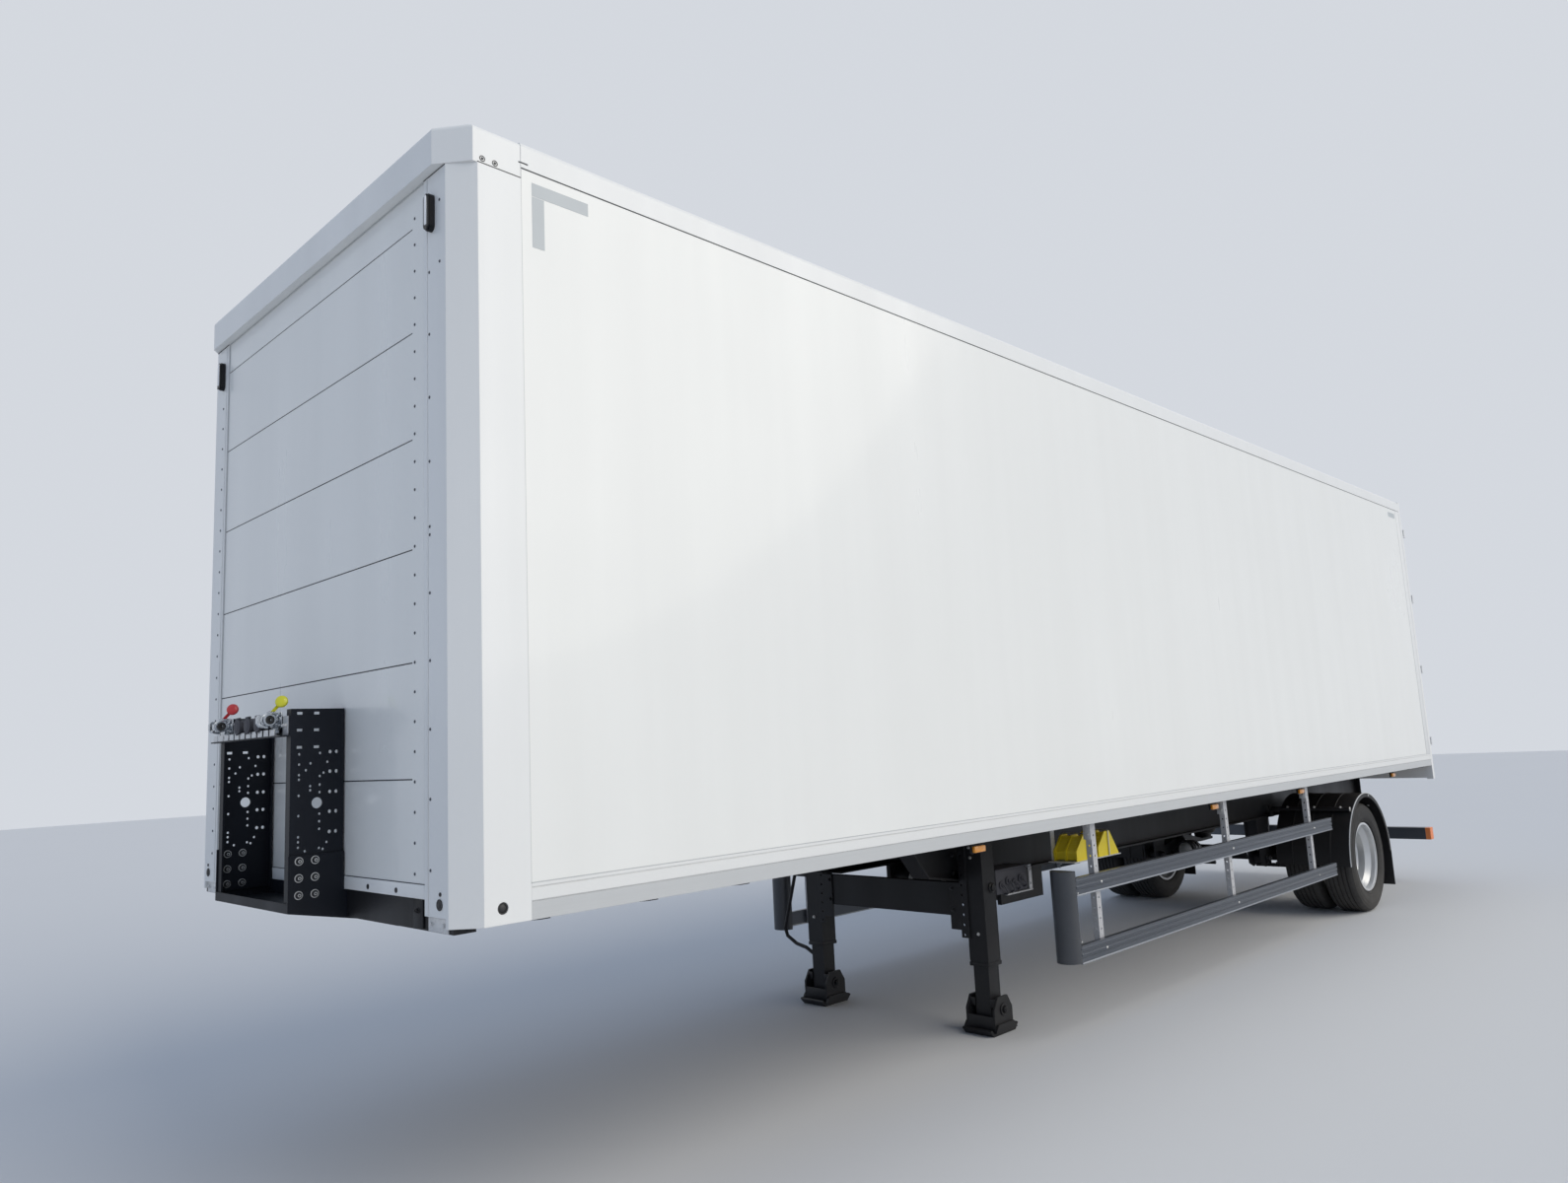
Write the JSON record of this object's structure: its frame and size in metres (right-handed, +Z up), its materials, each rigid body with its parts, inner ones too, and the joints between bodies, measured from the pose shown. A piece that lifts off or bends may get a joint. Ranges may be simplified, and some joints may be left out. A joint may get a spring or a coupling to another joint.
{
  "type": "box semi trailer",
  "caption": "Single-axle box semi trailer with kingpin, landing legs, side guards, twin rear wheels and rear barn doors that swing right round to the sides.",
  "frame": {"origin": "on the ground, midway between the foremost and rearmost points and on the middle of the width", "axes": "+X forwards to the kingpin end, +Y to the left side, +Z up"},
  "size_m": [11.518, 2.55, 4],
  "materials": {
    "white_panel": "smooth glossy white skin over a board core",
    "white_metal": "smooth white paint",
    "rail_metal": "satin grey anodised",
    "floor_board": "coated brown floor board",
    "chassis_black": "satin black paint",
    "guard_grey": "dark grey satin",
    "zinc": "galvanised",
    "kingpin_steel": "machined and greased",
    "coupling_metal": "cast",
    "socket_plastic": "matt",
    "rim_silver": "silver paint",
    "hub_iron": "painted casting",
    "tyre": "black rubber",
    "bellows": "black rubber",
    "guard_plastic": "matt black",
    "chock_yellow": "matt yellow",
    "end_orange": "orange",
    "lamp_red": "clear red lens",
    "lamp_amber": "clear amber lens",
    "lamp_white": "black housing with a clear lens"
  },
  "bodies": {
    "trailer": {"air_couplings": "coupling_metal", "air_reservoirs": "chassis_black", "air_springs": "bellows", "axle_beam": "chassis_black", "bottom_rails": "rail_metal", "brake_chambers": "chassis_black", "chassis_beams": "chassis_black", "chock_carrier": "zinc", "connection_towers": "chassis_black", "console_tray": "chassis_black", "corner_posts": "white_metal", "cross_members": "chassis_black", "electric_sockets": "socket_plastic", "floor_panel": "floor_board", "frame_fittings": "zinc", "front_cap": "white_metal", "front_markers": "lamp_white", "front_wall": "white_panel", "guard_noses": "guard_grey", "guard_posts": "zinc", "guard_rails": "guard_grey", "king_plate": "chassis_black", "kingpin": "kingpin_steel", "landing_feet": "chassis_black", "landing_legs": "chassis_black", "leg_brace": "chassis_black", "leg_crank": "chassis_black", "mud_flaps": "guard_plastic", "mudguards": "guard_plastic", "rear_frame": "white_metal", "roof_panel": "white_panel", "side_markers": "lamp_amber", "side_walls": "white_panel", "spring_hangers": "chassis_black", "tail_lamps": "lamp_red", "top_rails": "white_metal", "trailing_arms": "chassis_black", "underrun_bar": "guard_grey", "underrun_ends": "end_orange", "wheel_chocks": "chock_yellow"},
    "wheel_left": {"hub_left": "hub_iron", "rims_left": "rim_silver", "tyres_left": "tyre"},
    "door_left": {"rear_door_left": "white_panel", "door_fittings_left": "zinc"},
    "wheel_right": {"hub_right": "hub_iron", "rims_right": "rim_silver", "tyres_right": "tyre"},
    "door_right": {"rear_door_right": "white_panel", "door_fittings_right": "zinc"}
  },
  "joints": [
    {"name": "wheel_left_spin", "type": "hinge", "parent": "trailer", "child": "wheel_left", "pos_m": [-3.425, 0.9445, 0.475], "axis": [0, 1, 0], "continuous": true},
    {"name": "wheel_right_spin", "type": "hinge", "parent": "trailer", "child": "wheel_right", "pos_m": [-3.425, -0.9445, 0.475], "axis": [0, 1, 0], "continuous": true},
    {"name": "door_left_hinge", "type": "hinge", "parent": "trailer", "child": "door_left", "pos_m": [-5.745, 1.261, 1.21], "axis": [0, 0, -1], "range_deg": [0, 270]},
    {"name": "door_right_hinge", "type": "hinge", "parent": "trailer", "child": "door_right", "pos_m": [-5.745, -1.261, 1.21], "axis": [0, 0, 1], "range_deg": [0, 270]}
  ]
}
